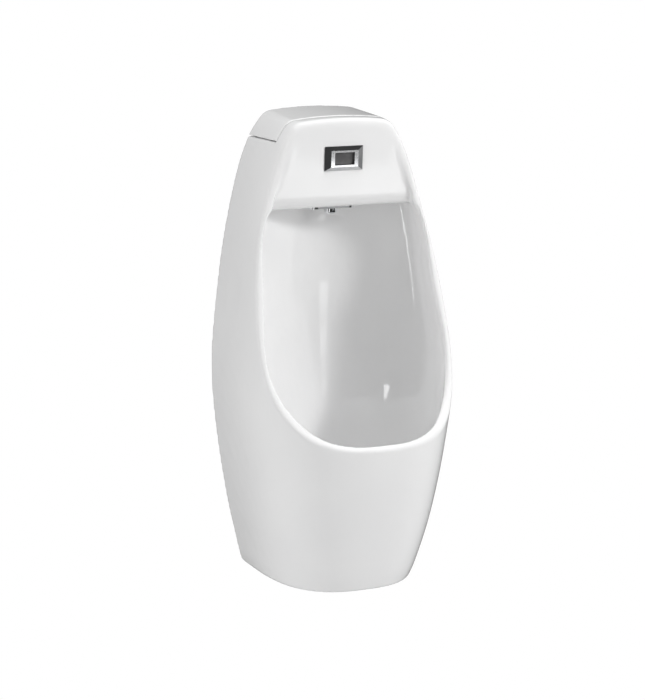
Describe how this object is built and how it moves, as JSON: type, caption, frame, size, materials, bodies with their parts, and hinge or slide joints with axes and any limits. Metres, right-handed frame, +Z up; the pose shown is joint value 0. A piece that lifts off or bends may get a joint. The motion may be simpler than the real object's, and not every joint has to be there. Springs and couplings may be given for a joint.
{
  "type": "wall hung urinal",
  "caption": "Wall hung china urinal with an open bowl, a head that holds a sensor flush valve behind a lift-off lid, a spray nozzle and a hidden trap.",
  "frame": {"origin": "on the wall face, midway between the screw holes of the two wall hooks", "axes": "+X to the right as seen from the front, +Y into the wall, +Z up"},
  "size_m": [0.3328, 0.2886, 0.718],
  "materials": {
    "vitreous_china": "glossy white glaze",
    "chrome_plate": "bright chrome plate",
    "dark_acrylic": "dark tinted acrylic",
    "black_plastic": "fine matte",
    "grey_plastic": "fine matte",
    "white_plastic": "smooth moulded",
    "soft_rubber": "matte",
    "zinc_steel": "zinc plated",
    "stainless_steel": "brushed",
    "valve_brass": "machined",
    "coil_resin": "moulded resin",
    "circuit_board": "lacquered",
    "cell_jacket": "printed sleeve, plain",
    "cable_jacket": "matte sheath"
  },
  "bodies": {
    "china": {"ceramic_body": "vitreous_china", "wall_hooks": "zinc_steel", "hook_liners": "white_plastic", "sensor_bezel": "chrome_plate", "sensor_window": "dark_acrylic", "sensor_case": "black_plastic", "sensor_gasket": "soft_rubber", "sensor_clamp": "stainless_steel", "clamp_screws": "stainless_steel", "sensor_board": "circuit_board", "infrared_pair": "dark_acrylic", "sensor_lead": "cable_jacket", "control_box": "grey_plastic", "control_cover": "grey_plastic", "cover_gasket": "soft_rubber", "cover_screws": "stainless_steel", "cell_holder": "black_plastic", "cells": "cell_jacket", "contact_plates": "stainless_steel", "control_board": "circuit_board", "valve_lead": "cable_jacket", "valve_body": "valve_brass", "diaphragm": "soft_rubber", "valve_bonnet": "valve_brass", "bonnet_screws": "stainless_steel", "armature_tube": "stainless_steel", "coil": "coil_resin", "coil_nut": "zinc_steel", "plunger_spring": "stainless_steel", "inlet_nut": "valve_brass", "inlet_washer": "soft_rubber", "inlet_tailpiece": "valve_brass", "inlet_filter": "stainless_steel", "outlet_tube": "chrome_plate", "tube_nut": "chrome_plate", "spray_nozzle": "chrome_plate", "nozzle_plate": "chrome_plate", "nozzle_gasket": "soft_rubber", "nozzle_locknut": "valve_brass", "waste_fitting": "chrome_plate", "waste_gasket": "soft_rubber", "waste_locknut": "white_plastic", "trap_body": "white_plastic", "trap_cup": "white_plastic", "cup_seal": "soft_rubber", "trap_inlet_nut": "white_plastic", "trap_inlet_washer": "soft_rubber", "outlet_pipe": "white_plastic", "outlet_nut": "white_plastic", "outlet_washer": "soft_rubber", "wall_socket": "white_plastic", "socket_seal": "soft_rubber"},
    "lid": {"ceramic_lid": "vitreous_china", "lid_pads": "soft_rubber"},
    "strainer": {"drain_strainer": "chrome_plate"},
    "plunger": {"plunger": "stainless_steel"},
    "stop_screw": {"stop_screw": "valve_brass"}
  },
  "joints": [
    {"name": "lid_lift", "type": "slide", "parent": "china", "child": "lid", "axis": [0, 0, 1], "range_m": [0, 0.06]},
    {"name": "strainer_lift", "type": "slide", "parent": "china", "child": "strainer", "axis": [0, 0, 1], "range_m": [0, 0.06]},
    {"name": "plunger_slide", "type": "slide", "parent": "china", "child": "plunger", "axis": [0, 0, 1], "range_m": [0, 0.0025], "stiffness_N_per_m": 400, "springref_m": -0.004, "deforming": ["plunger_spring"]},
    {"name": "stop_screw_turn", "type": "hinge", "parent": "china", "child": "stop_screw", "pos_m": [0.062, -0.106, 0.138], "axis": [0, 1, 0], "range_deg": [0, 540]}
  ]
}
